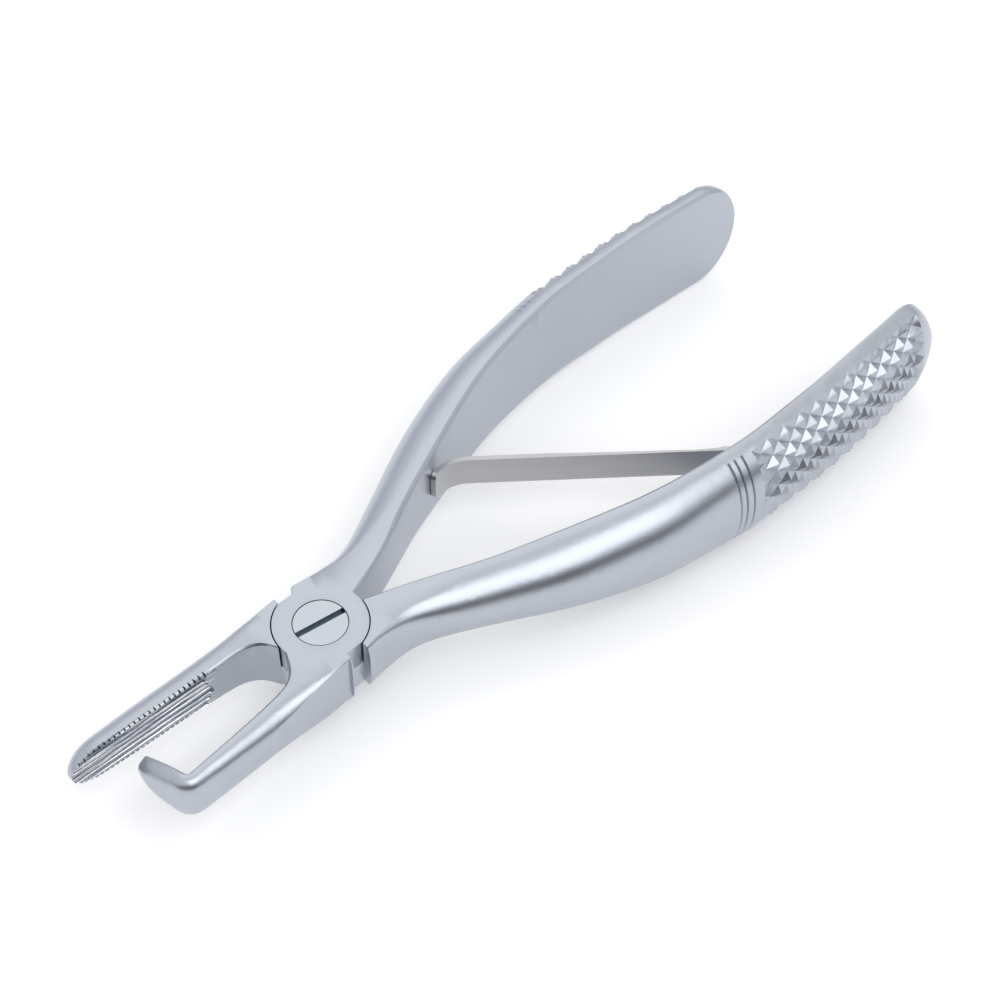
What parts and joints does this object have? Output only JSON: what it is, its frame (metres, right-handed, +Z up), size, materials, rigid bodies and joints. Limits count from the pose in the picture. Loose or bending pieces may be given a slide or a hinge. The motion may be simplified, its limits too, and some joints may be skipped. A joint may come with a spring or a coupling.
{
  "type": "tartar removing forceps",
  "caption": "Sprung steel dental forceps: a serrated straight jaw and a hooked jaw on a screwed lap joint, flared handles with diamond knurled grips.",
  "frame": {"origin": "on the pivot screw's axis, on the flat underside of the lap joint", "axes": "+X along the instrument towards the handle ends, +Y towards the handle of the hook arm, +Z up along the pivot screw towards its slotted head"},
  "size_m": [0.1498, 0.054, 0.0204],
  "materials": {
    "satin_steel": "satin",
    "spring_steel": "brushed",
    "screw_steel": "satin"
  },
  "bodies": {
    "serrated_body": {"serrated_arm": "satin_steel", "pivot_screw": "screw_steel", "leaf_spring_foot": "spring_steel", "spring_screw": "screw_steel"},
    "hook_body": {"hook_arm": "satin_steel"},
    "blade_body": {"leaf_spring_blade": "spring_steel"}
  },
  "joints": [
    {"name": "pivot", "type": "hinge", "parent": "serrated_body", "child": "hook_body", "pos_m": [0, 0, 0.0046], "axis": [0, 0, 1], "range_deg": [-7.6, 20], "stiffness_Nm_per_rad": 3},
    {"name": "spring_flex", "type": "hinge", "parent": "serrated_body", "child": "blade_body", "pos_m": [0.06378, -0.01358, 0.0046], "axis": [0, 0, 1], "range_deg": [-26.6, 10.2]}
  ],
  "couplings": [
    {"joint": "spring_flex", "follows": "pivot", "ratio": -1.33}
  ]
}
